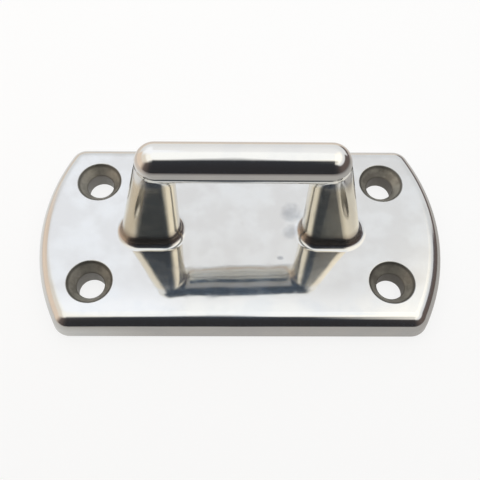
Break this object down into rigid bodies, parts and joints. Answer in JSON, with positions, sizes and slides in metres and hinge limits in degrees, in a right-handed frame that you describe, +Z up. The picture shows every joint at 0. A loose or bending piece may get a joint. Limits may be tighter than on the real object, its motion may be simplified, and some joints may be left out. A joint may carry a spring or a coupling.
{
  "type": "eye plate",
  "caption": "Cast stainless steel eye plate: a thick rounded plate with a closed staple on top and countersunk holes at its corners for screwing down.",
  "frame": {"origin": "centre of the plate's underside, on the mounting surface", "axes": "+X along the bar and the plate's length, +Y across the plate, +Z up out of the mounting surface"},
  "size_m": [0.1, 0.051, 0.04],
  "materials": {
    "polished_steel": "mirror-polished cast stainless steel, unplated"
  },
  "bodies": {
    "root": {"eye_plate": "polished_steel"}
  },
  "joints": []
}
